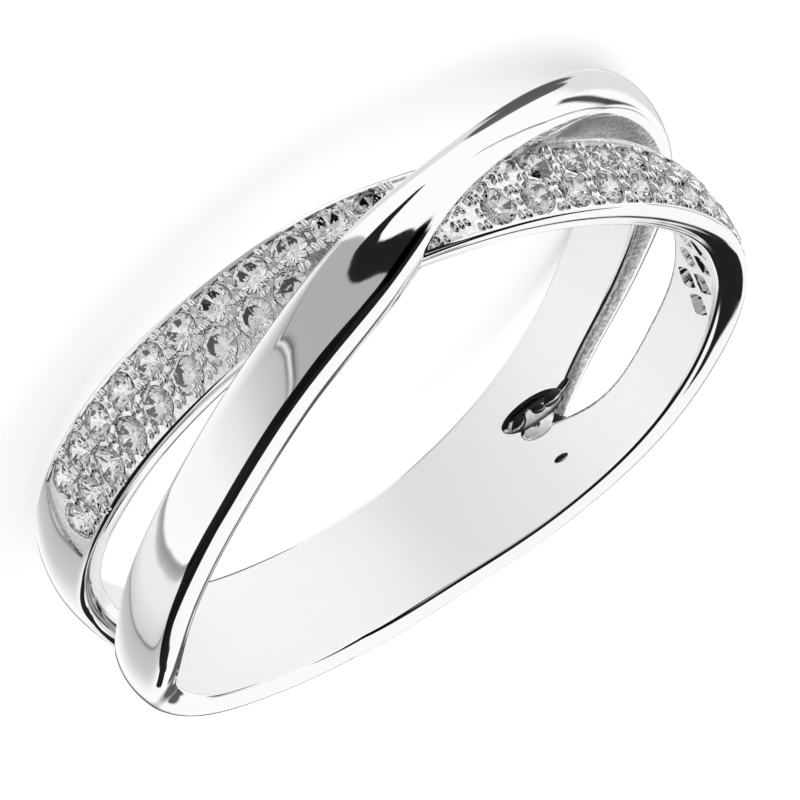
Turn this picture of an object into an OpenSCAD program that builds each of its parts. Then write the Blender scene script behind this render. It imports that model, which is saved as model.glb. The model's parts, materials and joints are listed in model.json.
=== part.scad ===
// Crossover ring, in millimetres.
// The finger goes through along Z, the crossing faces -Y, and the ring lies on its side.
// Angles go round the finger from the crossing: positive towards +X, negative towards -X.

/* [Finger] */
// Inside diameter
finger_d = 17; // [15:0.5:20]
// Rounding of the inner edges, along the finger and outwards
comfort_r = 0.22; // [0.1:0.02:0.3]

/* [Bands] */
// Half of the width across both bands at the shoulders
shoulder_half_w = 3; // [2.6:0.1:3.3]
// Half of the width of the plain back
back_half_w = 1.6; // [1.3:0.05:1.8]
// Thickness of the plain band at the crossing
plain_t = 1.9; // [1.7:0.05:2.3]
// Thickness of the stone-set band
stone_band_t = 1.05; // [1:0.05:1.3]
// Thickness of the back
back_t = 1.25; // [1:0.05:1.6]

/* [Stones] */
// Diameter of a stone
stone_d = 1.02; // [0.8:0.02:1.06]
// Distance from one stone to the next in a row
stone_step = 1.14; // [1.12:0.02:1.3]
// Distance between the two rows, along the finger
row_gap = 0.98; // [0.94:0.02:1.1]
// Metal between a stone and the band's outer edge
rail_w = 0.12; // [0.08:0.02:0.2]
// Height of a stone's table over the metal
table_rise = 0.06; // [0.02:0.02:0.12]
// Gap between a stone and its seat
seat_gap = 0.03; // [0.02:0.01:0.05]
// Diameter of the hole under a stone, through to the finger
light_hole_d = 0.5; // [0.3:0.05:0.6]
// How far a stone may lie under the plain band's side
under_plain = 0.32; // [0:0.04:0.4]

/* [Hidden] */
$fn = 48;

bore_r = finger_d / 2;
stone_r = stone_d / 2;
row_inset = rail_w + stone_r;
stone_turn = stone_step / (bore_r + stone_band_t) * 180 / PI;
// Length of the finger hole's cutter, past both sides
bore_cut_h = 4 * shoulder_half_w;
// Depth of the hole under a stone, from the metal's surface into the finger hole
light_hole_depth = 2 * stone_band_t + stone_r;
// Height of a seat over the metal, where the seat reaches under the plain band's side
seat_cut_h = table_rise + seat_gap;
// The side walls end this far under the edge of the dome
crisp_edge = 0.08;

// Sections of a band: degrees from one to the next, shares of the half width at which the dome
// has a point, and shares of comfort_r at which the inner rounding has one
station_step = 4;
DOME = [-0.94, -0.75, -0.5, -0.25, 0, 0.25, 0.5, 0.75, 0.94];
ROUND = 0.3;
ROUND_END = 2;

// Tables below have a row for every 20 degrees
table_step = 20;
turn_steps = 360 / table_step;

// What the shares of a table's row follow: the sizes of the front or of the back
FRONT = 0;
BACK = 1;
FOLLOWS = 4;

// Edges of both bands along the finger, as shares of the half widths:
// plain near, plain far, stone-set near, stone-set far.
// The rows go from -180 to 160 degrees in steps of table_step.
EDGES = [
    [1.03, -1.05, 1.03, -1.05, BACK],
    [0.95, -1.06, 1.08, -0.9, BACK],
    [0.44, -1.2, 1.28, -0.42, BACK],
    [-0.17, -0.78, 0.77, 0.17, FRONT],
    [-0.29, -0.97, 0.81, 0.17, FRONT],
    [-0.31, -1, 0.82, 0.14, FRONT],
    [-0.32, -0.92, 0.8, 0.01, FRONT],
    [-0.32, -0.8, 0.73, -0.1, FRONT],
    [-0.17, -0.6, 0.6, -0.22, FRONT],
    [0.06, -0.37, 0.42, -0.38, FRONT],
    [0.45, -0.19, 0.22, -0.6, FRONT],
    [0.68, 0.07, 0.08, -0.71, FRONT],
    [0.88, 0.28, 0, -0.79, FRONT],
    [0.98, 0.38, -0.06, -0.82, FRONT],
    [0.98, 0.38, -0.15, -0.81, FRONT],
    [0.78, 0.19, -0.17, -0.71, FRONT],
    [1.27, -0.44, 0.42, -1.14, BACK],
    [1.1, -0.92, 0.9, -1.08, BACK]
];
PLAIN = 0;
STONE_SET = 2;
FAR = 1;

// Heights over the finger hole, as shares of the thicknesses, the same on both sides:
// plain crown, plain edge, stone-set crown, stone-set edge.
// The rows go from 0 to 180 degrees in steps of table_step.
HEIGHTS = [
    [1, 0.79, 1, 0.81, FRONT],
    [0.95, 0.74, 1, 0.81, FRONT],
    [0.84, 0.68, 1, 0.81, FRONT],
    [0.73, 0.61, 1, 0.81, FRONT],
    [0.65, 0.55, 0.97, 0.78, FRONT],
    [0.57, 0.46, 0.92, 0.74, FRONT],
    [0.51, 0.42, 0.92, 0.76, FRONT],
    [0.78, 0.62, 0.78, 0.62, BACK],
    [0.88, 0.64, 0.88, 0.64, BACK],
    [1, 0.68, 1, 0.68, BACK]
];
EDGE = 1;

// Smooth curve through four values, from the second to the third as t goes from 0 to 1
function curve(a, b, c, d, t) =
    b + t / 2 * (c - a + t * (2 * a - 5 * b + 4 * c - d + t * (3 * (b - c) + d - a)));

function edge_at(i, column) =
    let (row = EDGES[(i + turn_steps) % turn_steps])
    row[column] * (row[FOLLOWS] == BACK ? back_half_w : shoulder_half_w);
function edge_z(angle, column) =
    let (p = (angle + 180) / table_step, i = floor(p))
    curve(edge_at(i - 1, column), edge_at(i, column), edge_at(i + 1, column),
          edge_at(i + 2, column), p - i);
function near_z(angle, band) = edge_z(angle, band);
function far_z(angle, band) = edge_z(angle, band + FAR);

function front_t(band) = band == PLAIN ? plain_t : stone_band_t;
function height_at(i, band, part) =
    let (k = abs(i), row = HEIGHTS[k > turn_steps / 2 ? turn_steps - k : k])
    row[band + part] * (row[FOLLOWS] == BACK ? back_t : front_t(band));
function height(angle, band, part = 0) =
    let (p = abs(angle) / table_step, i = floor(p))
    curve(height_at(i - 1, band, part), height_at(i, band, part),
          height_at(i + 1, band, part), height_at(i + 2, band, part), p - i);

// Height of a band's dome; across runs from -1 at its far edge to 1 at its near one
function dome_h(angle, band, across) =
    let (low = height(angle, band, EDGE)) low + (height(angle, band) - low) * (1 - across * across);

// Place round the finger: angle, distance from the finger's axis, height along it
function around(angle, r, z) = [r * sin(angle), -r * cos(angle), z];

// One section of a band, as [distance from the axis, z]: the far side's rounded inner edge,
// the far side, the dome, the near side and its rounded inner edge
function section(angle, band) =
    let (near = near_z(angle, band), far = far_z(angle, band),
         mid = (near + far) / 2, half = (near - far) / 2,
         side_top = bore_r + height(angle, band, EDGE) - crisp_edge,
         inside = bore_r - comfort_r, side_bottom = bore_r + comfort_r,
         turned = bore_r + ROUND * comfort_r)
    concat(
        [[inside, far + ROUND_END * comfort_r], [turned, far + ROUND * comfort_r],
         [side_bottom, far], [side_top, far]],
        [for (u = DOME) [bore_r + dome_h(angle, band, u), mid + u * half]],
        [[side_top, near], [side_bottom, near],
         [turned, near - ROUND * comfort_r], [inside, near - ROUND_END * comfort_r]]
    );

// Band swept once round the finger
module band(kind) {
    stations = 360 / station_step;
    rings = [for (k = [0 : stations - 1])
        let (angle = k * station_step - 180) [for (p = section(angle, kind)) around(angle, p[0], p[1])]];
    n = len(rings[0]);
    points = [for (ring = rings) each ring];
    faces = [for (k = [0 : stations - 1], j = [0 : n - 1])
        let (a = k * n + j, b = k * n + (j + 1) % n,
             c = (k + 1) % stations * n + (j + 1) % n, d = (k + 1) % stations * n + j)
        each [[a, b, c], [a, c, d]]];
    polyhedron(points = points, faces = faces);
}

// Rows of stones: name, angle of the first stone, half steps from there to the row's first
// place, the last angle that holds one, and the row's number from the band's outer edge
ROWS = [
    ["left_outer", 13.2, 0, 86, 0],
    ["left_inner", 13.2, 1, 86, 1],
    ["right_outer", -3, 0, -86, 0],
    ["right_inner", -3, 1, -86, 1]
];

// Height along the finger of a stone in a row, outer or inner, on the left or right half
function stone_z(angle, left, inner) =
    let (inset = row_inset + inner * row_gap)
    left ? far_z(angle, STONE_SET) + inset : near_z(angle, STONE_SET) - inset;

// How far the plain band's side is from the stone's edge, less than 0 where it covers the stone
function clear_of_plain(angle, left, z) =
    (left ? far_z(angle, PLAIN) - z : z - near_z(angle, PLAIN)) - stone_r;

// Places of a row's stones, as [angle, z]: those that the plain band covers no further than under_plain
function places(row) =
    let (left = row[3] > 0, turn = (left ? 1 : -1) * stone_turn)
    [for (k = [0 : floor(abs(row[3] - row[1]) / stone_turn - row[2] / 2)])
        let (angle = row[1] + (k + row[2] / 2) * turn, z = stone_z(angle, left, row[4]))
        if (clear_of_plain(angle, left, z) > -under_plain) [angle, z]];

// Puts a child on the stone-set band's surface, with the surface's outward side as its Z
module on_band(place) {
    angle = place[0];
    z = place[1];
    near = near_z(angle, STONE_SET);
    far = far_z(angle, STONE_SET);
    half = (near - far) / 2;
    across = (z - (near + far) / 2) / half;
    rise = height(angle, STONE_SET) - height(angle, STONE_SET, EDGE);
    tilt = atan(2 * across * rise / half);
    translate(around(angle, bore_r + dome_h(angle, STONE_SET, across), z))
        rotate([0, 0, angle - 90])
            rotate([0, 90 - tilt, 0])
                children();
}

// Round cut stone with its table up and the girdle's middle at z = 0.
// Heights and radii are shares of the stone's radius.
MAIN_FACETS = 8;
CROWN_H = 0.3;
PAVILION_H = 0.86;
TABLE_R = 0.57;
STAR_R = 0.8;
STAR_H = 0.18;
GIRDLE_H = 0.03;
girdle_z = table_rise - (CROWN_H + GIRDLE_H) * stone_r;
module cut_stone() {
    main = MAIN_FACETS;
    sides = 2 * main;
    function ring(n, radius, z, turn = 0) =
        [for (k = [0 : n - 1]) let (a = k * 360 / n + turn)
            [radius * cos(a), radius * sin(a), z] * stone_r];
    points = concat(
        ring(main, TABLE_R, CROWN_H + GIRDLE_H),
        ring(main, STAR_R, STAR_H + GIRDLE_H, 180 / main),
        ring(sides, 1, GIRDLE_H),
        ring(sides, 1, -GIRDLE_H),
        [[0, 0, -PAVILION_H * stone_r]]
    );
    star = main;
    top = star + main;
    bottom = top + sides;
    culet = bottom + sides;
    polyhedron(points = points, faces = concat(
        [[for (k = [main - 1 : -1 : 0]) k]],
        [for (k = [0 : main - 1])
            let (n = (k + 1) % main, s = star + k, a = top + 2 * k, m = a + 1, e = top + 2 * n)
            each [[k, n, s], [k, s, a], [n, e, s], [s, m, a], [s, e, m]]],
        [for (k = [0 : sides - 1])
            let (n = (k + 1) % sides)
            each [[top + k, top + n, bottom + n], [top + k, bottom + n, bottom + k],
                  [bottom + k, bottom + n, culet]]]
    ));
}

// Hole for a stone: a straight wall round the girdle, a cone under it and the light hole
module seat() {
    wide = stone_r + seat_gap;
    hole = light_hole_d / 2;
    shelf = girdle_z - GIRDLE_H * stone_r - seat_gap;
    rotate_extrude($fn = 24)
        polygon([[0, -light_hole_depth], [hole, -light_hole_depth],
                 [hole, shelf - (wide - hole) * PAVILION_H],
                 [wide, shelf], [wide, seat_cut_h], [0, seat_cut_h]]);
}

module ring_body() {
    color("gainsboro")
        difference() {
            union() {
                band(PLAIN);
                band(STONE_SET);
            }
            rotate([0, 0, 90])
                cylinder(r = bore_r, h = bore_cut_h, center = true);
            for (row = ROWS, place = places(row))
                on_band(place)
                    seat();
        }
}

module stone(place) {
    color("aliceblue")
        on_band(place)
            translate([0, 0, girdle_z])
                cut_stone();
}

// Every stone, as [name, place]
STONES = [for (row = ROWS)
    let (row_places = places(row))
    for (k = [0 : len(row_places) - 1])
        [str("stone_", row[0], "_", k < 9 ? "0" : "", k + 1), row_places[k]]];

ring_body();
for (s = STONES)
    stone(s[1]);
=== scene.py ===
"""Crossover ring: a polished domed band over a band set with small stones, lying on its side."""

import json
import math

import bpy
import numpy as np
from mathutils import Matrix, Vector


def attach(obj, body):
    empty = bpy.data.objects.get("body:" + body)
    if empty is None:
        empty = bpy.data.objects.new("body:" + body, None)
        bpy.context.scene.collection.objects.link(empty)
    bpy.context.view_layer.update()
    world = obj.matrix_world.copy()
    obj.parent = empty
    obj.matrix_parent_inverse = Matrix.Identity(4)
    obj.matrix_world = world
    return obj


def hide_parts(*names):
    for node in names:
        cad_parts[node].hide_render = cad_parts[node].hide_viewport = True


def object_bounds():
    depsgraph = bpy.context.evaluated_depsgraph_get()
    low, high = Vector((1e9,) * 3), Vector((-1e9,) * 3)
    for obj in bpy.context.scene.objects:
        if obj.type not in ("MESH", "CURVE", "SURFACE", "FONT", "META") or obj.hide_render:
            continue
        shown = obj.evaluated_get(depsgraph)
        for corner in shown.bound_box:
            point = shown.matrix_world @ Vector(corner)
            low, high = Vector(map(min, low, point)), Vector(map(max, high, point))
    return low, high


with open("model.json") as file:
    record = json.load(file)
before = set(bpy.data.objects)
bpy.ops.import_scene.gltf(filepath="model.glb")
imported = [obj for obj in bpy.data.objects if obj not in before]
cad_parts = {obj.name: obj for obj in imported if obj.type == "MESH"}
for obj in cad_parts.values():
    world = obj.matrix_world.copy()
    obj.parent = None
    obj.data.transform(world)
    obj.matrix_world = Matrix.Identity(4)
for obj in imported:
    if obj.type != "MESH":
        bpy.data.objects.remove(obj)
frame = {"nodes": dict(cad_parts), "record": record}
cad_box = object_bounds()

MM = 0.001

# Sizes in millimetres. The finger goes through along Z and the crossing faces -Y.
# Angles go round the finger from the crossing: positive towards +X, negative towards -X.
BORE_R = frame["record"]["mounts"][0]["dims"]["r_mm"]
# share of the CAD box that keeps the rounded metal inside it
FIT = 0.998
HALF_W = (cad_box[1][2] - cad_box[0][2]) / 2 / MM * FIT
BACK_HALF_W = 1.6
PLAIN_T = 1.899
STONE_BAND_T = 1.05
BACK_T = 1.25
COMFORT_R = 0.22
BACK_COMFORT_R = 0.13

TABLE_STEP = 20
FRONT, BACK = 0, 1

# Edges along the finger, as shares of the half widths, from -180 to 160 degrees:
# plain near, plain far, stone-set near, stone-set far
EDGES = [
    (1.03, -1.05, 1.03, -1.05, BACK),
    (0.95, -1.06, 1.08, -0.9, BACK),
    (0.44, -1.2, 1.28, -0.42, BACK),
    (-0.17, -0.78, 0.77, 0.17, FRONT),
    (-0.29, -0.97, 0.81, 0.17, FRONT),
    (-0.31, -1, 0.82, 0.14, FRONT),
    (-0.32, -0.92, 0.8, 0.01, FRONT),
    (-0.32, -0.8, 0.73, -0.1, FRONT),
    (-0.17, -0.6, 0.6, -0.22, FRONT),
    (0.06, -0.37, 0.42, -0.38, FRONT),
    (0.45, -0.19, 0.22, -0.6, FRONT),
    (0.68, 0.07, 0.08, -0.71, FRONT),
    (0.88, 0.28, 0, -0.79, FRONT),
    (0.98, 0.38, -0.06, -0.82, FRONT),
    (0.98, 0.38, -0.15, -0.81, FRONT),
    (0.78, 0.19, -0.17, -0.71, FRONT),
    (1.27, -0.44, 0.42, -1.14, BACK),
    (1.1, -0.92, 0.9, -1.08, BACK),
]
# Heights over the finger hole, as shares of the thicknesses, from 0 to 180 degrees:
# plain crown, plain edge, stone-set crown, stone-set edge
HEIGHTS = [
    (1, 0.79, 1, 0.81, FRONT),
    (0.95, 0.74, 1, 0.81, FRONT),
    (0.84, 0.68, 1, 0.81, FRONT),
    (0.73, 0.61, 1, 0.81, FRONT),
    (0.65, 0.55, 0.97, 0.78, FRONT),
    (0.57, 0.46, 0.92, 0.74, FRONT),
    (0.51, 0.42, 0.92, 0.76, FRONT),
    (0.78, 0.62, 0.78, 0.62, BACK),
    (0.88, 0.64, 0.88, 0.64, BACK),
    (1, 0.68, 1, 0.68, BACK),
]
PLAIN, STONE_SET = 0, 2


def curve(values, angle):
    """Smooth closed curve through values that stand TABLE_STEP degrees apart from -180."""
    p = (np.asarray(angle, float) + 180) / TABLE_STEP
    i = np.floor(p).astype(int)
    t = p - i
    a, b, c, d = (values[(i + k) % len(values)] for k in (-1, 0, 1, 2))
    return b + t / 2 * (c - a + t * (2 * a - 5 * b + 4 * c - d + t * (3 * (b - c) + d - a)))


def edge_z(angle, column):
    values = [row[column] * (BACK_HALF_W if row[4] == BACK else HALF_W) for row in EDGES]
    return curve(np.array(values), angle)


def height(angle, column):
    front = PLAIN_T if column < STONE_SET else STONE_BAND_T
    half = [row[column] * (BACK_T if row[4] == BACK else front) for row in HEIGHTS]
    return curve(np.array(half[:0:-1] + half[:-1]), angle)


def dome_h(angle, band, across):
    low = height(angle, band + 1)
    return low + (height(angle, band) - low) * (1 - across * across)


def around(angle, r, z):
    """Points at an angle in degrees, a distance from the finger's axis and a height along it."""
    a = np.radians(angle)
    return np.stack(np.broadcast_arrays(r * np.sin(a), -r * np.cos(a), z), axis=-1)


def make_object(name, points, faces):
    """Mesh object from points in millimetres."""
    mesh = bpy.data.meshes.new(name)
    mesh.from_pydata([tuple(p) for p in np.asarray(points).reshape(-1, 3)], [], faces)
    mesh.validate()
    piece = bpy.data.objects.new(name, mesh)
    bpy.context.scene.collection.objects.link(piece)
    return piece


def grid_faces(rows, columns):
    """Quads of a grid that closes on itself both ways."""
    faces = []
    for i in range(rows):
        low, high = i * columns, (i + 1) % rows * columns
        for j in range(columns):
            after = (j + 1) % columns
            faces.append((low + j, high + j, high + after, low + after))
    return faces


# Fineness of the mesh: places round the finger, and points of each part of a section
STATIONS = 480
DOME_POINTS = 25
SIDE_POINTS = 5
ROUND_POINTS = 7
EDGE_POINTS = 7
# A section starts inside the finger hole, which is cut out afterwards
INSIDE_DEPTH = 0.3
INSIDE_REACH = 1.6
ROUND_START = 0.003
# Rounding of the outer edges: how far it reaches in from the edge and down the side
FAR_EDGE_R = 0.09
NEAR_EDGE_R = 0.3
STONE_NEAR_EDGE_R = 0.2
RIGHT_NEAR_EDGE_R = 0.07
RIGHT_EDGE_SPAN = (-100, 30)
EDGE_FADE = 20
EDGE_DROP = 1.15
# The most of a half width and of a side wall that the rounding takes
EDGE_WIDTH_SHARE = 0.3
EDGE_WALL_SHARE = 0.62
# Where the comfort rounding changes to that of the back
COMFORT_FADE = (70, 110)
# Hollow of the near side walls towards the finger hole, and how far the stone-set band's
# near wall leans in round its shoulder
WALL_HOLLOW = 0.09
SHOULDER_AT = -76
SHOULDER_LEAN = 0.13
SHOULDER_SPAN = 24


def near_edge_r(angle, band):
    """Rounding of a band's near edge; the stone-set band's is sharper on the right."""
    if band == PLAIN:
        return NEAR_EDGE_R
    first, last = RIGHT_EDGE_SPAN
    share = np.clip((angle - first) / EDGE_FADE, 0, 1) * np.clip((last - angle) / EDGE_FADE, 0, 1)
    return STONE_NEAR_EDGE_R + (RIGHT_NEAR_EDGE_R - STONE_NEAR_EDGE_R) * share


def comfort_r(angle):
    """Rounding at the finger hole; it gets smaller towards the back."""
    first, last = COMFORT_FADE
    share = np.clip((np.abs(angle) - first) / (last - first), 0, 1)
    return COMFORT_R + (BACK_COMFORT_R - COMFORT_R) * share


def band_section(angle, band):
    """One band's outline at every angle, far side first: distances from the axis and heights."""
    near, far = edge_z(angle, band), edge_z(angle, band + 1)
    mid, half = (near + far) / 2, (near - far) / 2
    rise = height(angle, band) - height(angle, band + 1)
    corner = BORE_R + height(angle, band + 1)
    comfort = comfort_r(angle)
    bottom = BORE_R + comfort
    turn = np.linspace(0, math.pi / 2, ROUND_POINTS)

    def one_side(edge, inward, reach, hollow, lean):
        foot = edge + inward * (hollow + lean)
        points = [(BORE_R - INSIDE_DEPTH + 0 * angle, foot + inward * comfort * INSIDE_REACH)]
        for a in turn:
            r = bottom - (comfort + ROUND_START) * math.cos(a)
            points.append((r, foot + inward * comfort * (1 - math.sin(a))))
        reach = np.minimum(reach, EDGE_WIDTH_SHARE * half)
        down = np.minimum(reach * EDGE_DROP, EDGE_WALL_SHARE * (corner - bottom))
        for t in np.linspace(0, 1, SIDE_POINTS + 2)[1:-1]:
            inset = hollow * (1 - t) ** 2 + lean * (1 - t)
            points.append((bottom + (corner - down - bottom) * t, edge + inward * inset))
        # from the side wall to the dome, as a curve that leaves both smoothly
        dome_at = 1 - reach / half
        top = corner + rise * (1 - dome_at ** 2)
        handle = top - 2 * rise * dome_at * reach / half
        for t in np.linspace(0, 1, EDGE_POINTS):
            r = (1 - t) ** 2 * (corner - down) + 2 * t * (1 - t) * handle + t * t * top
            points.append((r, edge + inward * reach * t * t))
        return points, reach

    far_side, far_reach = one_side(far, 1, FAR_EDGE_R, 0, 0)
    lean = 0
    if band == STONE_SET:
        lean = SHOULDER_LEAN * np.exp(-((angle - SHOULDER_AT) / SHOULDER_SPAN) ** 2)
    near_side, near_reach = one_side(near, -1, near_edge_r(angle, band), WALL_HOLLOW, lean)
    points = far_side
    low, high = -1 + far_reach / half, 1 - near_reach / half
    for t in np.linspace(0, 1, DOME_POINTS)[1:-1]:
        u = low + (high - low) * t
        points.append((BORE_R + dome_h(angle, band, u), mid + half * u))
    points += near_side[::-1]
    r, z = zip(*points)
    return np.array(r), np.array(z)


def band_mesh(name, band):
    angle = np.arange(STATIONS) * 360 / STATIONS - 180
    r, z = band_section(angle, band)
    return make_object(name, around(angle[:, None], r.T, z.T), grid_faces(STATIONS, r.shape[0]))


def cylinder_mesh(name, r, half_length, sides):
    a = np.arange(sides) * 360 / sides
    points = np.concatenate([around(a, r, -half_length), around(a, r, half_length)])
    faces = [(k, (k + 1) % sides, sides + (k + 1) % sides, sides + k) for k in range(sides)]
    faces += [tuple(range(sides - 1, -1, -1)), tuple(range(sides, 2 * sides))]
    return make_object(name, points, faces)


def combine(piece, tool, operation):
    """Joins a tool to a piece, or cuts it out, and deletes the tool."""
    step = piece.modifiers.new(operation, "BOOLEAN")
    step.operation = operation
    step.solver = "MANIFOLD"
    step.object = tool
    graph = bpy.context.evaluated_depsgraph_get()
    mesh = bpy.data.meshes.new_from_object(piece.evaluated_get(graph))
    piece.modifiers.clear()
    piece.data = mesh
    bpy.data.objects.remove(tool)
    return piece


# Depth within which a stone's points belong to its table
ON_TABLE = 0.005


def stone_place(node):
    """Three axes, table centre and girdle radius of a CAD stone in millimetres.

    Its table faces along the third axis.
    """
    co = np.array([v.co for v in frame["nodes"][node].data.vertices]) / MM
    co = np.unique(np.round(co, 4), axis=0)
    centre = co.mean(0)
    outward = np.linalg.svd(co - centre, full_matrices=False)[2][2]
    outward *= np.sign(np.dot(outward, centre * (1, 1, 0)))
    depth = co @ outward
    table = co[depth > depth.max() - ON_TABLE].mean(0)
    radius = np.linalg.norm(np.cross(co - table, outward), axis=1).max()
    along = np.cross((0, 0, 1), outward)
    along /= np.linalg.norm(along)
    return along, np.cross(outward, along), outward, table, radius


def revolve(profile, sides, place):
    """Closed solid of revolution about a stone's axis; heights count from its table."""
    along, across, outward, table, _ = place
    a = np.arange(sides) * 2 * math.pi / sides
    rings = [
        table + outward * z + r * (np.cos(a)[:, None] * along + np.sin(a)[:, None] * across)
        for r, z in profile[1:-1]
    ]
    first, last = ([table + outward * profile[k][1]] for k in (0, -1))
    points = np.concatenate([first, *rings, last])
    faces = [(0, 1 + (k + 1) % sides, 1 + k) for k in range(sides)]
    for i in range(len(rings) - 1):
        low, high = 1 + i * sides, 1 + (i + 1) * sides
        for k in range(sides):
            m = (k + 1) % sides
            faces.append((low + k, low + m, high + m, high + k))
    top, end = 1 + (len(rings) - 1) * sides, len(points) - 1
    faces += [(top + k, top + (k + 1) % sides, end) for k in range(sides)]
    return points, faces


def gather(name, parts):
    """One object from several (points, faces)."""
    points, faces, start = [], [], 0
    for p, f in parts:
        points.append(p)
        faces += [tuple(start + k for k in face) for face in f]
        start += len(p)
    return make_object(name, np.concatenate(points), faces)


STONES = sorted(n for n in frame["nodes"] if n.startswith("stone_"))
places = {n: stone_place(n) for n in STONES}
TABLE_RISE = 0.06
STONE_R = next(iter(places.values()))[4]
# Depth of the field of stones under the polished rails, and height of the cutter over it
FIELD_DEPTH = 0.06
FIELD_CUT = 0.6
# Ends of the two halves of the field: angles at the far and the near side
LEFT_FIELD = ((-2, -2), (86.5, 93))
RIGHT_FIELD = ((8, 8), (-90, -87))
# Widths of the rails; the right half's far one is beside the plain band
FAR_RAIL = 0.14
NEAR_RAIL = 0.11
LEFT_NEAR_RAIL = 0.13
HIDDEN_RAIL = 0.2
GIRDLE_DEPTH = 0.33 * STONE_R
# Radius of a stone that shows between the metal's lips, play of the stone in its seat, and
# depth of the seat's cone as a share of the stone's radius
OPENING_R = 0.87 * STONE_R
SEAT_PLAY = 0.015
SEAT_CONE = 0.62
SEAT_CUT = 0.4
SEAT_SIDES = 36
# Small end of the cone, the straight wall under and over the girdle, and the lip: how far it
# flares at its foot, its top and the cutter's top, and half its thickness
CONE_END_R = 0.2
WALL_UNDER, WALL_OVER = 0.03, 0.01
LIP_FOOT, LIP_TOP, CUT_TOP = 0.01, 0.03, 0.05
LIP_HALF = 0.02
# Windows: half sizes at their inner and outer ends, depth of the inner end under the table,
# depth of the outer end under the girdle as a share of the stone's radius, and how far the
# blunt corners stand out
WINDOW_INNER = (0.62, 0.56)
WINDOW_OUTER = (0.3, 0.27)
WINDOW_DEPTH = 2.4
WINDOW_START = 0.5
WINDOW_CORNER = 0.82


def field_tool(left):
    """Cutter that sinks the field of stones; it follows the band between the rails."""
    steps, columns = 220, 25
    t = np.linspace(0, 1, columns)
    first, last = ((a + (b - a) * t) for a, b in (LEFT_FIELD if left else RIGHT_FIELD))
    rows_low, rows_high = [], []
    for s in np.linspace(0, 1, steps):
        angle = first * (1 - s) + last * s
        far = edge_z(angle, STONE_SET + 1) + (FAR_RAIL if left else HIDDEN_RAIL)
        near = edge_z(angle, STONE_SET) - (LEFT_NEAR_RAIL if left else NEAR_RAIL)
        z = far + (near - far) * t
        mid = (edge_z(angle, STONE_SET) + edge_z(angle, STONE_SET + 1)) / 2
        half = (edge_z(angle, STONE_SET) - edge_z(angle, STONE_SET + 1)) / 2
        bottom = BORE_R + dome_h(angle, STONE_SET, (z - mid) / half) - FIELD_DEPTH
        rows_low.append(around(angle, bottom, z))
        rows_high.append(around(angle, bottom + FIELD_CUT, z))
    low, high = np.array(rows_low), np.array(rows_high)
    points = np.concatenate([low.reshape(-1, 3), high.reshape(-1, 3)])
    n = steps * columns
    faces = []
    for i in range(steps - 1):
        for j in range(columns - 1):
            a, d = i * columns + j, (i + 1) * columns + j
            b, c = a + 1, d + 1
            faces += [(a, b, c, d), (n + d, n + c, n + b, n + a)]
    for i in range(steps - 1):
        for j in (0, columns - 1):
            a, d = i * columns + j, (i + 1) * columns + j
            faces.append((a, d, n + d, n + a) if j == 0 else (d, a, n + a, n + d))
    for j in range(columns - 1):
        for i in (0, steps - 1):
            a, b = i * columns + j, i * columns + j + 1
            faces.append((b, a, n + a, n + b) if i == 0 else (a, b, n + b, n + a))
    if not left:
        faces = [f[::-1] for f in faces]
    return make_object("field", points, faces)


def seat_parts():
    """Seats in the field: a wall round the girdle, a cone and a window towards the finger."""
    parts = []
    for place in places.values():
        r = place[4]
        girdle = -GIRDLE_DEPTH
        lip = -TABLE_RISE - FIELD_DEPTH
        cone = girdle - SEAT_CONE * r
        wall = r + SEAT_PLAY
        profile = [
            (0, cone), (CONE_END_R, cone),
            (wall, girdle - WALL_UNDER), (wall, girdle + WALL_OVER),
            (OPENING_R + LIP_FOOT, lip - LIP_HALF), (OPENING_R + LIP_TOP, lip + LIP_HALF),
            (OPENING_R + CUT_TOP, SEAT_CUT), (0, SEAT_CUT),
        ]
        parts.append(revolve(profile, SEAT_SIDES, place))
    return parts


def window_parts():
    """Lozenge windows inside the ring, one behind each stone, narrowing towards it."""
    parts = []
    for along, across, outward, table, r in places.values():
        inner = table - outward * WINDOW_DEPTH
        outer = table - outward * (GIRDLE_DEPTH + WINDOW_START * r)
        points = []
        for centre, (a, b) in ((inner, WINDOW_INNER), (outer, WINDOW_OUTER)):
            for k in range(8):
                turn = k * math.pi / 4
                stretch = 1 if k % 2 == 0 else WINDOW_CORNER
                corner = a * math.cos(turn) * along + b * math.sin(turn) * across
                points.append(centre + stretch * corner)
        faces = [(k, (k + 1) % 8, 8 + (k + 1) % 8, 8 + k) for k in range(8)]
        faces += [tuple(range(7, -1, -1)), tuple(range(8, 16))]
        parts.append((np.array(points), faces))
    return parts


def separate(parts, name, piece):
    """Cuts parts that may overlap each other, in groups that don't."""
    groups = 4
    for k in range(groups):
        group = parts[k::groups]
        if group:
            combine(piece, gather(name, group), "DIFFERENCE")


# Hollows at the inner fork: angle, height along the finger, half sizes (round, along, deep), turn
POCKETS = [
    (-131, -0.6, (1, 0.36, 0.26), 12),
    (-131.8, -0.2, (0.56, 0.3, 0.16), 10),
    (-134.6, -0.7, (0.32, 0.2, 0.42), -20),
    (-130.4, -0.62, (0.26, 0.14, 0.44), 25),
    (-127.2, -0.52, (0.4, 0.18, 0.42), 8),
    (-124.1, -0.45, (0.4, 0.1, 0.2), -5),
    (-132.3, 0.88, (0.22, 0.09, 0.2), 13),
]
# Fineness of a hollow, and the share of its size within which a point lies on its wall
POCKET_STEPS, POCKET_SIDES = 17, 40
POCKET_SKIN = 0.03


def pocket_axes(angle, z, turn):
    """Centre of a hollow and its three directions: long, short, deep."""
    a, turn = math.radians(angle), math.radians(turn)
    outward = np.array((math.sin(a), -math.cos(a), 0))
    level, upward = np.array((math.cos(a), math.sin(a), 0)), np.array((0, 0, 1.0))
    along = math.cos(turn) * level + math.sin(turn) * upward
    return outward * BORE_R + upward * z, np.array((along, np.cross(outward, along), outward))


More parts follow.
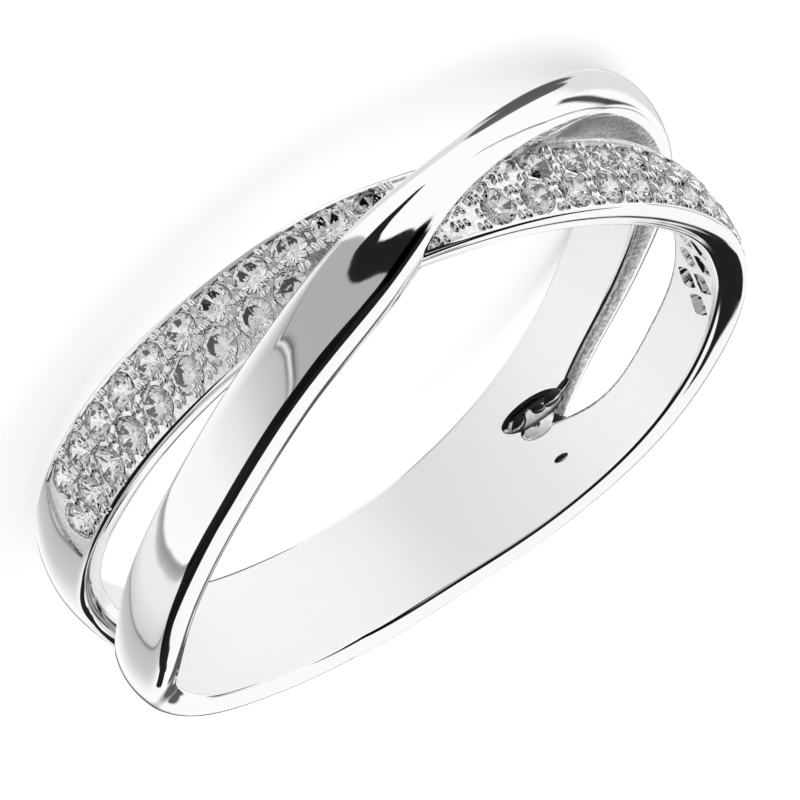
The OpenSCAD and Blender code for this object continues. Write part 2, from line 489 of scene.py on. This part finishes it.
def pocket_mesh(angle, z, size, turn):
    """Oval hollow inside the ring."""
    centre, axes = pocket_axes(angle, z, turn)
    ball = [(math.sin(t), -math.cos(t)) for t in np.linspace(0, math.pi, POCKET_STEPS)]
    points, faces = revolve(ball, POCKET_SIDES, (*np.eye(3), np.zeros(3), 1))
    return make_object("pocket", points * size @ axes + centre, faces)


def in_pocket(points, angle, z, size, turn):
    """Which points lie on the wall of a hollow."""
    centre, axes = pocket_axes(angle, z, turn)
    share = np.linalg.norm((points - centre) @ axes.T / size, axis=1)
    return np.abs(share - 1) < POCKET_SKIN


stone_band = band_mesh("stone_band", STONE_SET)
for left in (True, False):
    combine(stone_band, field_tool(left), "DIFFERENCE")
separate(seat_parts(), "seats", stone_band)
separate(window_parts(), "windows", stone_band)
ring = band_mesh("ring_metal", PLAIN)
combine(ring, stone_band, "UNION")
combine(ring, cylinder_mesh("bore", BORE_R, 4 * HALF_W, STATIONS), "DIFFERENCE")
for pocket in POCKETS:
    combine(ring, pocket_mesh(*pocket), "DIFFERENCE")
ring.data.transform(Matrix.Scale(MM, 4))
ring.data.shade_smooth()
ring.data.set_sharp_from_angle(angle=math.radians(30))


# Distance within which a point lies on the wall of the finger hole
ON_BORE = 0.002


def smooth_bore(mesh):
    """Gives the finger hole its true normals and the satin surface."""
    co = np.array([v.co for v in mesh.vertices]) / MM
    on_bore = np.abs(np.hypot(co[:, 0], co[:, 1]) - BORE_R) < ON_BORE
    normals = [tuple(n.vector) for n in mesh.corner_normals]
    for face in mesh.polygons:
        if all(on_bore[k] for k in face.vertices):
            face.material_index = SATIN
            for corner, k in zip(face.loop_indices, face.vertices):
                r = math.hypot(co[k, 0], co[k, 1])
                normals[corner] = (-co[k, 0] / r, -co[k, 1] / r, 0.0)
    mesh.normals_split_custom_set(normals)


# Right-hand slit: angles between which its walls and its lip are rough and partly greyed by
# painted shade, and those of its tip, which gets the hollows' painted shade
SLIT = (-128, -8)
SLIT_LIP = (-126, -12)
SLIT_TIP = (-142, -128)
# How squarely a face has to face along the finger to count as a wall
WALL_FACING = 0.7
# How near a wall's middle lies to its band's edge, and how far over the finger hole it starts
PLAIN_WALL_REACH, STONE_WALL_REACH = 0.2, 0.1
WALL_START = 0.1
# The rough lip: its reach from the band's far edge, and its heights over the finger hole
LIP_REACH = (-0.05, 0.4)
LIP_HEIGHTS = (0.004, 0.24)
# The slit's tip: its reach along the finger, and how far over the finger hole it starts
TIP_REACH = 0.6
TIP_START = 0.02
HOLLOW_START = 0.01
# How near a face lies to the floor of the field, and how far inside the band's edges
ON_FLOOR = 0.004
FIELD_INSET = 0.05
# The ring's materials after the polished one, in the order in which it carries them
SATIN, CAST, FIELD, HOLLOW = range(1, 5)


def inside(values, low, high):
    return (values > low) & (values < high)


def rough_faces(mesh):
    """Gives the field, the walls in the right-hand slit and the hollows their rough surfaces; the
    slit walls' darker grey is partly painted shade, and the hollows' dark sides are painted shade.
    """
    centre = np.array([f.center for f in mesh.polygons]) / MM
    lean = np.array([f.normal[2] for f in mesh.polygons])
    angle = np.degrees(np.arctan2(centre[:, 0], -centre[:, 1]))
    r, z = np.hypot(centre[:, 0], centre[:, 1]), centre[:, 2]
    near, far = edge_z(angle, STONE_SET), edge_z(angle, STONE_SET + 1)
    floor_r = BORE_R + dome_h(angle, STONE_SET, (2 * z - near - far) / (near - far)) - FIELD_DEPTH
    field = (np.abs(r - floor_r) < ON_FLOOR) & inside(z, far + FIELD_INSET, near - FIELD_INSET)
    below_edge = BORE_R + height(angle, PLAIN + 1) - NEAR_EDGE_R
    plain_wall = (lean > WALL_FACING) & (r < below_edge)
    plain_wall &= np.abs(z - edge_z(angle, PLAIN)) < PLAIN_WALL_REACH
    stone_wall = (lean < -WALL_FACING) & (np.abs(z - far) < STONE_WALL_REACH)
    walls = inside(angle, *SLIT) & (plain_wall | stone_wall) & (r > BORE_R + WALL_START)
    # the stone-set band's rounding in the slit, on the side of the finger
    lip = inside(angle, *SLIT_LIP) & inside(z - far, *LIP_REACH)
    lip &= inside(r - BORE_R, *LIP_HEIGHTS)
    tip = inside(angle, *SLIT_TIP) & (np.abs(lean) > WALL_FACING)
    tip &= (np.abs(z) < TIP_REACH) & (r > BORE_R + TIP_START)
    hollows = np.zeros(len(r), bool)
    for pocket in POCKETS:
        hollows |= in_pocket(centre, *pocket)
    hollows &= r > BORE_R + HOLLOW_START
    for found, index in ((walls | lip, CAST), (field, FIELD), (tip | hollows, HOLLOW)):
        for k in np.flatnonzero(found):
            mesh.polygons[int(k)].material_index = index


def place_angle(point):
    return math.atan2(point[0], -point[1])


def turned_by(angle):
    """Turns points round the finger's axis, by an angle in radians."""
    c, s = math.cos(angle), math.sin(angle)
    return np.array(((c, -s, 0), (s, c, 0), (0, 0, 1)))


# Radius of a grain, its half length and half width as shares of it, its height over the field
# and its depth under it
BEAD_R = 0.1
GRAIN_LONG, GRAIN_SHORT = 1.45, 0.8
BEAD_RISE = 0.115
BEAD_SUNK = 0.12
BEAD_RINGS, BEAD_SIDES = 5, 12
# How far the grains stand from the line of a row, and from each other
GRAIN_APART = 0.155
RAIL_GRAIN = 0.38
LINE_GRAIN = 0.03
MIDDLE_GRAIN = 0.33
LEFT_INNER_GRAIN = 0.5
EMPTY_GRAINS = (-0.2, 0.16)
# Grains of a group, from the middle of the group, in steps of GRAIN_APART
PAIR, CLOSE_PAIR, OPEN_PAIR = (-0.5, 0.5), (-0.55, 0.55), (-0.6, 0.6)
THREE, OPEN_THREE = (-1.05, 0, 1.05), (-1.1, 0, 1.1)
# Empty places that each row goes on by, towards the crossing
RIGHT_EMPTY, LEFT_EMPTY = 3, 1
# Slant of the grains, how much their turn and size differ, and the steps of the two waves
# that they follow
GRAIN_SLANT = 0.35
GRAIN_SWING = 0.16
GRAIN_SPREAD = 0.12
SWING_STEP, SPREAD_STEP = 2.4, 1.7


def bead_spots():
    """Grains between the stones and at the rails: centre, outward and long direction of each."""
    flat = {n: (p[3] - p[2] * (TABLE_RISE + FIELD_DEPTH), p[2]) for n, p in places.items()}
    rows = {}
    for n in list(flat):
        rows.setdefault(n.rsplit("_", 1)[0], []).append(n)
    # each row goes on by empty places towards the crossing, where the field narrows
    for row, names in rows.items():
        first, second = flat[names[0]], flat[names[1]]
        step = place_angle(second[0]) - place_angle(first[0])
        rise = (second[0] - first[0]) * (0, 0, 1)
        for k in range(1, 1 + (RIGHT_EMPTY if "right" in row else LEFT_EMPTY)):
            back = turned_by(-k * step)
            empty = "%s_before_%d" % (row, k)
            flat[empty] = (back @ first[0] - k * rise, back @ first[1])
            names.insert(0, empty)
    spots = []

    def grains(at, steps):
        for step in steps:
            spots.append((at + line * step * GRAIN_APART, up, slant))

    for row, names in rows.items():
        for a, b in zip(names, names[1:]):
            mid = (flat[a][0] + flat[b][0]) / 2
            up = flat[a][1] + flat[b][1]
            up /= np.linalg.norm(up)
            line = flat[b][0] - flat[a][0]
            line /= np.linalg.norm(line)
            side = np.cross(up, line)
            to_far = ("left" in row) == ("outer" in row)
            side *= -np.sign(side[2]) if to_far else np.sign(side[2])
            slant = side + GRAIN_SLANT * line
            slant /= np.linalg.norm(slant)
            grains(mid + side * RAIL_GRAIN, OPEN_PAIR)
            grains(mid + side * LINE_GRAIN, (0,))
            grains(mid - side * MIDDLE_GRAIN, THREE if "outer" in row else CLOSE_PAIR)
            if "before" in a and "right" in row:
                for off in EMPTY_GRAINS:
                    grains(flat[a][0] + side * off, OPEN_THREE)
            if row == "stone_left_inner":
                grains(flat[a][0] + side * LEFT_INNER_GRAIN, PAIR)
    return spots


def bead_mesh(name, spots, r):
    """Grains of metal raised from the field, longer one way, with a rounded top."""
    parts = []
    for number, (centre, up, long_way) in enumerate(spots):
        across = np.cross(up, long_way)
        across /= np.linalg.norm(across)
        # grains are raised by hand, so their turn and size differ a little
        swing = GRAIN_SWING * math.sin(SWING_STEP * number)
        size = 1 + GRAIN_SPREAD * math.sin(SPREAD_STEP * number)
        long_way, across = long_way + swing * across, across - swing * long_way
        turn = [2 * math.pi * k / BEAD_SIDES for k in range(BEAD_SIDES)]
        long_half, short_half = size * GRAIN_LONG * long_way, size * GRAIN_SHORT * across
        circle = [math.cos(b) * long_half + math.sin(b) * short_half for b in turn]
        points = [centre + r * c - up * BEAD_SUNK for c in circle]
        for i in range(BEAD_RINGS):
            a = math.pi / 2 * i / BEAD_RINGS
            points += [centre + r * math.cos(a) * c + up * BEAD_RISE * math.sin(a) for c in circle]
        points.append(centre + up * BEAD_RISE)
        faces = [tuple(range(BEAD_SIDES - 1, -1, -1))]
        for i in range(BEAD_RINGS):
            low, high = i * BEAD_SIDES, (i + 1) * BEAD_SIDES
            for k in range(BEAD_SIDES):
                m = (k + 1) % BEAD_SIDES
                faces.append((low + k, low + m, high + m, high + k))
        top = BEAD_RINGS * BEAD_SIDES
        tip = top + BEAD_SIDES
        faces += [(top + k, top + (k + 1) % BEAD_SIDES, tip) for k in range(BEAD_SIDES)]
        parts.append((np.array(points), faces))
    return gather(name, parts)


beads = bead_mesh("grain_beads", bead_spots(), BEAD_R)
beads.data.transform(Matrix.Scale(MM, 4))
beads.data.shade_smooth()
beads.data.set_sharp_from_angle(angle=math.radians(50))


def principled(name, **values):
    material = bpy.data.materials.new(name)
    material.use_nodes = True
    shader = material.node_tree.nodes["Principled BSDF"]
    for key, value in values.items():
        shader.inputs[key.replace("_", " ")].default_value = value
    return material, material.node_tree, shader


def node_of(tree, kind, **values):
    node = tree.nodes.new(kind)
    for key, value in values.items():
        setattr(node, key, value)
    return node


def maths(tree, operation, a, b=None):
    """Output of one maths node; its inputs are numbers or sockets."""
    node = node_of(tree, "ShaderNodeMath", operation=operation)
    for socket, value in zip(node.inputs, (a, b)):
        if value is None:
            continue
        if isinstance(value, (int, float)):
            socket.default_value = value
        else:
            tree.links.new(value, socket)
    return node.outputs[0]


def above(tree, value, limit, soft):
    """1 where the value lies above the limit, with a soft side; both are numbers or sockets."""
    node = node_of(tree, "ShaderNodeClamp")
    past = maths(tree, "SUBTRACT", value, limit)
    tree.links.new(maths(tree, "DIVIDE", past, soft), node.inputs["Value"])
    return node.outputs[0]


def between(tree, value, low, high, soft):
    """1 where the value lies between low and high, with soft sides."""
    return maths(
        tree, "MULTIPLY", above(tree, value, low, soft), above(tree, high, value, soft))


def less(tree, value, mask, share):
    """The value, made less by a share where the mask is 1."""
    kept = maths(tree, "SUBTRACT", 1.0, maths(tree, "MULTIPLY", mask, share))
    return maths(tree, "MULTIPLY", value, kept)


def noise_of(tree, scale, detail):
    """Noise over the object; scale counts per metre and may differ along the three axes."""
    place = node_of(tree, "ShaderNodeTexCoord").outputs["Object"]
    stretch = node_of(tree, "ShaderNodeVectorMath", operation="MULTIPLY")
    tree.links.new(place, stretch.inputs[0])
    stretch.inputs[1].default_value = scale
    noise = node_of(tree, "ShaderNodeTexNoise")
    tree.links.new(stretch.outputs[0], noise.inputs["Vector"])
    noise.inputs["Scale"].default_value = 1.0
    noise.inputs["Detail"].default_value = detail
    return noise.outputs[0]


def spread(tree, value, low, high):
    """The value's middle range spread from low to high."""
    node = node_of(tree, "ShaderNodeMapRange")
    tree.links.new(value, node.inputs["Value"])
    for key, number in (("From Min", 0.3), ("From Max", 0.7), ("To Min", low), ("To Max", high)):
        node.inputs[key].default_value = number
    return node.outputs[0]


def bump(tree, shader, value, depth):
    node = node_of(tree, "ShaderNodeBump")
    tree.links.new(value, node.inputs["Height"])
    node.inputs["Strength"].default_value = 1.0
    node.inputs["Distance"].default_value = depth
    tree.links.new(node.outputs[0], shader.inputs["Normal"])


# Noise of the materials, counts per metre
HAZE_SCALE = 900
WAVE_SCALE = 700
BRUSH_SCALE = (250, 250, 14000)
GRAIN_SCALE = 9000
SHADE_BREAKUP_SCALE = 3500
FACET_SCALE = 4000
# Depths of their bumps in metres
WAVE_DEPTH = 0.000003
BRUSH_DEPTH = 0.000002
CAST_DEPTH = 0.00001
# Their roughness, least and most
POLISH_ROUGH = (0.03, 0.08)
SATIN_ROUGH = (0.36, 0.48)
STONE_ROUGH = (0.0, 0.02)
# What share of its roughness cast metal keeps on its highest grains
CAST_ROUGH_SHARE = 0.6
# Painted shade in the hollows: how far a hollow's side has to face along the finger to be
# painted dark and how softly that starts, what the noise that breaks up its edge adds, how dark
# the painted shade gets, and the hollow's grainy shade elsewhere
HOLLOW_PAINTED_SHADE_FROM = (0.9, 0.12)
HOLLOW_SHADE_BREAKUP = 1.2
HOLLOW_PAINTED_SHADE_DEPTH = 0.96
HOLLOW_SHADE = (0.8, 1)


def grey(share):
    return (share, share, share, 1)


def grey_of(tree, value):
    """Colour output of one grey value."""
    shade = node_of(tree, "ShaderNodeCombineColor")
    for socket in shade.inputs[:3]:
        tree.links.new(value, socket)
    return shade.outputs[0]


def polished_metal():
    """Mirror polish with the faint waviness and haze that a wheel leaves."""
    material, tree, shader = principled(
        "polished_white_metal", Base_Color=grey(0.9), Metallic=1.0)
    haze = spread(tree, noise_of(tree, (HAZE_SCALE,) * 3, 3), *POLISH_ROUGH)
    tree.links.new(haze, shader.inputs["Roughness"])
    bump(tree, shader, noise_of(tree, (WAVE_SCALE,) * 3, 1), WAVE_DEPTH)
    return material


def satin_metal():
    """Finger hole: fine brush marks that run round it."""
    material, tree, shader = principled(
        "satin_white_metal", Base_Color=grey(0.97), Metallic=0.35)
    marks = noise_of(tree, BRUSH_SCALE, 2)
    tree.links.new(spread(tree, marks, *SATIN_ROUGH), shader.inputs["Roughness"])
    bump(tree, shader, marks, BRUSH_DEPTH)
    return material


def cast_metal(name, dark, light, rough):
    """Places that no wheel reaches: grainy and rough, with a grey base between the dark and light
    given; on the slit walls that darker grey is partly painted shade.
    """
    material, tree, shader = principled(name, Metallic=1.0)
    grain = noise_of(tree, (GRAIN_SCALE,) * 3, 3)
    shade = grey_of(tree, spread(tree, grain, dark, light))
    tree.links.new(shade, shader.inputs["Base Color"])
    polish = spread(tree, grain, rough, CAST_ROUGH_SHARE * rough)
    tree.links.new(polish, shader.inputs["Roughness"])
    bump(tree, shader, grain, CAST_DEPTH)
    return material


def hollow_painted_shade_metal():
    """Hollows at the fork: painted shade, dark where they face along the finger, where they would
    mirror the dark canopy; light and grainy elsewhere.
    """
    material, tree, shader = principled("hollow_white_metal", Metallic=1.0, Roughness=0.3)
    split = node_of(tree, "ShaderNodeSeparateXYZ")
    tree.links.new(node_of(tree, "ShaderNodeTexCoord").outputs["Normal"], split.inputs[0])
    # painted shade: the side that faces along the finger gets a dark base colour in place of the
    # dark canopy it would mirror; noise breaks up its edge
    shade_breakup = maths(tree, "MULTIPLY", noise_of(tree, (SHADE_BREAKUP_SCALE,) * 3, 2), HOLLOW_SHADE_BREAKUP)
    grain = noise_of(tree, (GRAIN_SCALE,) * 3, 3)
    facing = maths(tree, "ADD", split.outputs[2], shade_breakup)
    dark = above(tree, facing, *HOLLOW_PAINTED_SHADE_FROM)
    bright = less(tree, spread(tree, grain, *HOLLOW_SHADE), dark, HOLLOW_PAINTED_SHADE_DEPTH)
    tree.links.new(grey_of(tree, bright), shader.inputs["Base Color"])
    bump(tree, shader, grain, CAST_DEPTH)
    return material


def clear_stone():
    """Colourless stone; the polish of its facets varies slightly."""
    material, tree, shader = principled(
        "clear_stone", Base_Color=grey(1), IOR=2.2, Transmission_Weight=1.0)
    polish = spread(tree, noise_of(tree, (FACET_SCALE,) * 3, 1), *STONE_ROUGH)
    tree.links.new(polish, shader.inputs["Roughness"])
    return material


metal = polished_metal()
ring.data.materials.clear()
for material in (
    # the slit walls' cast metal: real rough grain, and a dark grey base that is partly painted
    # shade of the slit
    metal, satin_metal(), cast_metal("cast_white_metal", 0.3, 0.8, 0.45),
    cast_metal("field_white_metal", 0.75, 1, 0.3), hollow_painted_shade_metal(),
):
    ring.data.materials.append(material)
rough_faces(ring.data)
smooth_bore(ring.data)
beads.data.materials.append(metal)
for piece in (ring, beads):
    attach(piece, "root")
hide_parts("ring_body")

gem = clear_stone()
for name in STONES:
    node = frame["nodes"][name]
    node.data.materials.clear()
    node.data.materials.append(gem)

# Camera: the photograph's angle to the ring, its distance in metres, and the way that the
# ring stands off the middle of the photograph
ELEVATION = math.radians(21.1)
AZIMUTH = math.radians(-59.9)
ROLL = math.radians(140.7)
DISTANCE = 0.25
LENS = 448.0
OFF_RIGHT, OFF_UP = 0.00019, 0.00023


def place_camera():
    level_part = math.cos(ELEVATION)
    to_camera = Vector((
        level_part * math.cos(AZIMUTH), level_part * math.sin(AZIMUTH), math.sin(ELEVATION)
    ))
    level = Vector((0, 0, 1)).cross(to_camera).normalized()
    upright = to_camera.cross(level)
    right = math.cos(ROLL) * level + math.sin(ROLL) * upright
    up = -math.sin(ROLL) * level + math.cos(ROLL) * upright
    data = bpy.data.cameras.new("camera")
    data.lens = LENS
    data.sensor_width = 36.0
    data.clip_start = 0.01
    data.clip_end = 10.0
    camera = bpy.data.objects.new("camera", data)
    turn = Matrix((right, up, to_camera)).transposed().to_4x4()
    place = DISTANCE * to_camera + OFF_RIGHT * right + OFF_UP * up
    camera.matrix_world = Matrix.Translation(place) @ turn
    bpy.context.scene.collection.objects.link(camera)
    bpy.context.scene.camera = camera


# Floor: half its side in metres, its shade and its own faint light
FLOOR_HALF = 1.0
FLOOR_SHADE = 0.93
FLOOR_GLOW = 0.25


def pale_floor():
    """Plain floor under the ring; the metal and the stones show the studio in its place."""
    half, z = FLOOR_HALF / MM, cad_box[0][2] / MM
    corners = [(x * half, y * half, z) for x, y in ((-1, -1), (1, -1), (1, 1), (-1, 1))]
    piece = make_object("floor", corners, [(0, 1, 2, 3)])
    piece.data.transform(Matrix.Scale(MM, 4))
    pale = principled(
        "pale_floor", Base_Color=grey(FLOOR_SHADE), Roughness=0.8,
        Emission_Color=grey(1), Emission_Strength=FLOOR_GLOW,
    )[0]
    piece.data.materials.append(pale)
    piece.visible_glossy = False
    piece.visible_transmission = False
    return piece


place_camera()
floor = pale_floor()


# Light: a studio around the ring, white with a dark canopy and dark cards. Bearings and lifts
# are directions from the ring, in degrees.
# Lean of the walls: lift, and the bearing that they move on by as a share of LEAN_SPAN. At the
# ring they move on by nothing.
LEAN_SPAN = 60.0
LEAN_AT_RING = 5.4
LEAN = [
    (-90, 0.6), (-50, 0.49), (-40, 0.34), (-30, 0.24), (-15, 0.14), (0, 0.09), (10, 0.065),
    (40, 0.02), (90, 0),
]
# Share of the lean: bearing in degrees, share
LEAN_SHARE = [(-180, 0.5), (-45, 0.55), (30, 1), (180, 1)]
# Brightness of the walls round the ring: bearing in degrees, brightness
WALLS = [
    (-180, 0.4), (-47, 0.44), (-46, 0.3), (-45.2, 0.12), (-44.4, 0.14), (-43.8, 0.85),
    (-43, 0.85), (-42.2, 0.22), (-41, 0.52), (-32, 0.62), (-20, 0.8), (-5, 0.95),
    (21.8, 1), (22.6, 0.28), (25, 0.36), (28.5, 0.55), (30, 0.86), (42, 0.85), (59, 0.62),
    (60, 0.2), (61, 0.2), (62, 0.5), (76, 0.6), (92, 0.95), (180, 1),
]
# Lower edge of the dark canopy: bearing in degrees, share of 90 degrees of lift
CANOPY = [
    (-180, 0.52), (-150, 0.5), (-130, 0.41), (-120, 0.36), (-110, 0.4), (-99, 0.5),
    (-85, 0.51), (-60, 0.44), (-50, 0.46), (-40, 0.42), (-20, 0.38), (0, 0.31), (20, 0.2),
    (32, 0.26), (60, 0.29), (92, 0.25), (96, 0.1), (110.9, 0.08), (111.6, 0.71),
    (150, 0.71), (180, 0.52),
]
# Sides of the dark upright card: lift in degrees, bearing's share of half a turn to the left
CARD_LEFT = [
    (-52, 0.45), (-47, 0.57), (-40, 0.59), (-35, 0.49), (-29, 0.464), (-20, 0.46),
    (-10, 0.478), (0, 0.506), (10, 0.544), (20, 0.589), (30, 0.639), (36, 0.72), (42, 0.8),
    (90, 0.85),
]
CARD_RIGHT = [
    (-52, 0.42), (-48, 0.39), (-40, 0.378), (-25, 0.372), (-10, 0.383), (0, 0.397),
    (10, 0.421), (20, 0.461), (30, 0.515), (36, 0.548), (45, 0.6), (90, 0.61),
]
# Dark line behind: bearing in degrees from 0 to 360, lift's share of 90 degrees
BACK_LINE = [(140, 0.2), (160, 0.23), (180, 0.29), (200, 0.27), (215, 0.2), (230, 0.09)]
# A shape's bearings and lifts are its two limits and the softness of its edges.
CANOPY_SOFT = 1.5
CARD_LIFT = (-52.0, 60.0, 2.0)
CARD_SOFT = 0.006
LINE_BEARING = (140.0, 230.0, 4.0)
LINE_LIFT = (-1.0, 1.0, 0.5)
LOW_WALLS_BEARING = (128.0, 190.0, 10.0)
LOW_WALLS_LIFT = (-90.0, -3.0, 6.0)
# Bright opening in the canopy: its lower edge slants, and starts at a sum of lift and slant
OPENING_BEARING = (94.0, 150.0, 1.0)
OPENING_LIFT = (26.0, 64.0, 2.0)
OPENING_SLANT = 0.7
OPENING_FROM = (106.4, 1.4)
# Dark patch by the canopy's lowest corner
TAIL_BEARING = (108.0, 112.8, 0.5)
TAIL_LIFT = (18.9, 23.0, 0.5)
# Round dark cards: bearing, lift, radius and softness
LOW_CARDS = [(150, -47, 10, 2), (178, -50, 16, 2)]
RIM_CARDS = [(119, -15, 15, 5), (124, 2, 7, 2)]
# Dark card behind, which leans: bearings, lifts at bearing 0, and its lean
BACK_CARD_BEARING = (150.0, 192.0, 4.0)
BACK_CARD_LIFT = (51.0, 62.0, 3.0)
BACK_CARD_LEAN = 0.28
# How much each of them takes off the light
CANOPY_DARK = 0.985
CARD_DARK = 0.985
LOW_CARDS_DARK = 0.86
BACK_CARD_DARK = 0.93
LINE_DARK = 0.85
LOW_WALLS_DARK = 0.24
RIM_CARDS_DARK = 0.9
# Light that the stones add to what they let through, and strength of the whole
STONE_GLOW = 0.3
STRENGTH = 1.08
# Largest lift, and turns in degrees
TOP = 90.0
HALF_TURN = 180.0
FULL_TURN = 360.0


def ramp_of(tree, value, points, low=-HALF_TURN, high=HALF_TURN):
    """Piecewise linear curve through (place, value) pairs; the values lie between 0 and 1."""
    ramp = node_of(tree, "ShaderNodeValToRGB")
    ramp.color_ramp.interpolation = "LINEAR"
    stops = ramp.color_ramp.elements
    while len(stops) < len(points):
        stops.new(0.5)
    for stop, (at, v) in zip(stops, points):
        stop.position = (at - low) / (high - low)
        stop.color = (v, v, v, 1)
    share = maths(tree, "DIVIDE", maths(tree, "SUBTRACT", value, low), high - low)
    tree.links.new(share, ramp.inputs[0])
    return ramp.outputs[0]


def spot(tree, direction, bearing, lift, radius, soft):
    """1 inside a round card that stands at a bearing and lift in degrees."""
    b, l = math.radians(bearing), math.radians(lift)
    middle = (math.cos(l) * math.cos(b), math.cos(l) * math.sin(b), math.sin(l))
    dot = node_of(tree, "ShaderNodeVectorMath", operation="DOT_PRODUCT")
    tree.links.new(direction, dot.inputs[0])
    dot.inputs[1].default_value = middle
    away = maths(tree, "DEGREES", maths(tree, "ARCCOSINE", dot.outputs["Value"]))
    return above(tree, radius, away, soft)


def spots(tree, direction, cards):
    """1 inside any of the round cards."""
    masks = [spot(tree, direction, *card) for card in cards]
    return maths(tree, "MAXIMUM", *masks)


def leaning_walls(tree, bearing, lift):
    """Brightness of the walls, whose cards lean."""
    lean = maths(tree, "MULTIPLY", ramp_of(tree, lift, LEAN, -TOP, TOP), LEAN_SPAN)
    lean = maths(tree, "SUBTRACT", lean, LEAN_AT_RING)
    lean = maths(tree, "MULTIPLY", lean, ramp_of(tree, bearing, LEAN_SHARE))
    return ramp_of(tree, maths(tree, "SUBTRACT", bearing, lean), WALLS)


def canopy_mask(tree, bearing, lift):
    """Dark canopy overhead with its bright opening."""
    edge = maths(tree, "MULTIPLY", ramp_of(tree, bearing, CANOPY), TOP)
    canopy = above(tree, lift, edge, CANOPY_SOFT)
    leaning = maths(tree, "ADD", lift, maths(tree, "MULTIPLY", bearing, OPENING_SLANT))
    opening = maths(
        tree, "MULTIPLY", above(tree, leaning, *OPENING_FROM),
        between(tree, lift, *OPENING_LIFT))
    opening = maths(tree, "MULTIPLY", opening, between(tree, bearing, *OPENING_BEARING))
    canopy = less(tree, canopy, opening, 1.0)
    tail = maths(
        tree, "MULTIPLY", between(tree, bearing, *TAIL_BEARING),
        between(tree, lift, *TAIL_LIFT))
    return maths(tree, "MAXIMUM", canopy, tail)


def card_masks(tree, bearing, lift):
    """Dark upright card, and all that lies past its right side."""
    turned = maths(tree, "MULTIPLY", bearing, -1 / HALF_TURN)
    left, right = (ramp_of(tree, lift, side, -TOP, TOP) for side in (CARD_LEFT, CARD_RIGHT))
    past_left = above(tree, left, turned, CARD_SOFT)
    past_right = above(tree, turned, right, CARD_SOFT)
    card = maths(tree, "MULTIPLY", past_left, past_right)
    return maths(tree, "MULTIPLY", card, between(tree, lift, *CARD_LIFT)), past_right


def back_masks(tree, bearing, lift):
    """Dark card, dark line and dim low walls behind the ring."""
    behind = maths(tree, "MODULO", maths(tree, "ADD", bearing, FULL_TURN), FULL_TURN)
    leaning = maths(tree, "ADD", lift, maths(tree, "MULTIPLY", behind, BACK_CARD_LEAN))
    card = maths(
        tree, "MULTIPLY", between(tree, behind, *BACK_CARD_BEARING),
        between(tree, leaning, *BACK_CARD_LIFT))
    line_lift = maths(tree, "MULTIPLY", ramp_of(tree, behind, BACK_LINE, 0.0, FULL_TURN), TOP)
    from_line = maths(tree, "SUBTRACT", lift, line_lift)
    line = maths(
        tree, "MULTIPLY", between(tree, from_line, *LINE_LIFT),
        between(tree, behind, *LINE_BEARING))
    low_walls = maths(
        tree, "MULTIPLY", between(tree, behind, *LOW_WALLS_BEARING),
        between(tree, lift, *LOW_WALLS_LIFT))
    return card, line, low_walls


def studio_light():
    """World that the metal and the stones mirror; the camera and dull surfaces see it white."""
    world = bpy.data.worlds.new("studio")
    bpy.context.scene.world = world
    world.use_nodes = True
    tree = world.node_tree
    background = tree.nodes["Background"]
    direction = node_of(tree, "ShaderNodeTexCoord").outputs["Generated"]
    split = node_of(tree, "ShaderNodeSeparateXYZ")
    tree.links.new(direction, split.inputs[0])
    x, y, z = split.outputs
    bearing = maths(tree, "DEGREES", maths(tree, "ARCTAN2", y, x))
    lift = maths(tree, "DEGREES", maths(tree, "ARCSINE", z))

    card, past_right = card_masks(tree, bearing, lift)
    back_card, line, low_walls = back_masks(tree, bearing, lift)
    bright = maths(tree, "MAXIMUM", leaning_walls(tree, bearing, lift), past_right)
    for mask, dark in (
        (canopy_mask(tree, bearing, lift), CANOPY_DARK),
        (card, CARD_DARK),
        (spots(tree, direction, LOW_CARDS), LOW_CARDS_DARK),
        (back_card, BACK_CARD_DARK),
        (line, LINE_DARK),
        (low_walls, LOW_WALLS_DARK),
        (spots(tree, direction, RIM_CARDS), RIM_CARDS_DARK),
    ):
        bright = less(tree, bright, mask, dark)
    rays = node_of(tree, "ShaderNodeLightPath").outputs
    softer = maths(tree, "MULTIPLY", rays["Is Transmission Ray"], STONE_GLOW)
    bright = maths(tree, "ADD", less(tree, bright, softer, 1.0), softer)
    pick = node_of(tree, "ShaderNodeMix")
    lit = maths(tree, "MAXIMUM", rays["Is Camera Ray"], rays["Is Diffuse Ray"])
    tree.links.new(lit, pick.inputs[0])
    tree.links.new(bright, pick.inputs[2])
    pick.inputs[3].default_value = 1.0
    tree.links.new(pick.outputs[0], background.inputs["Color"])
    background.inputs["Strength"].default_value = STRENGTH


studio_light()
bpy.context.scene.view_settings.view_transform = "Standard"
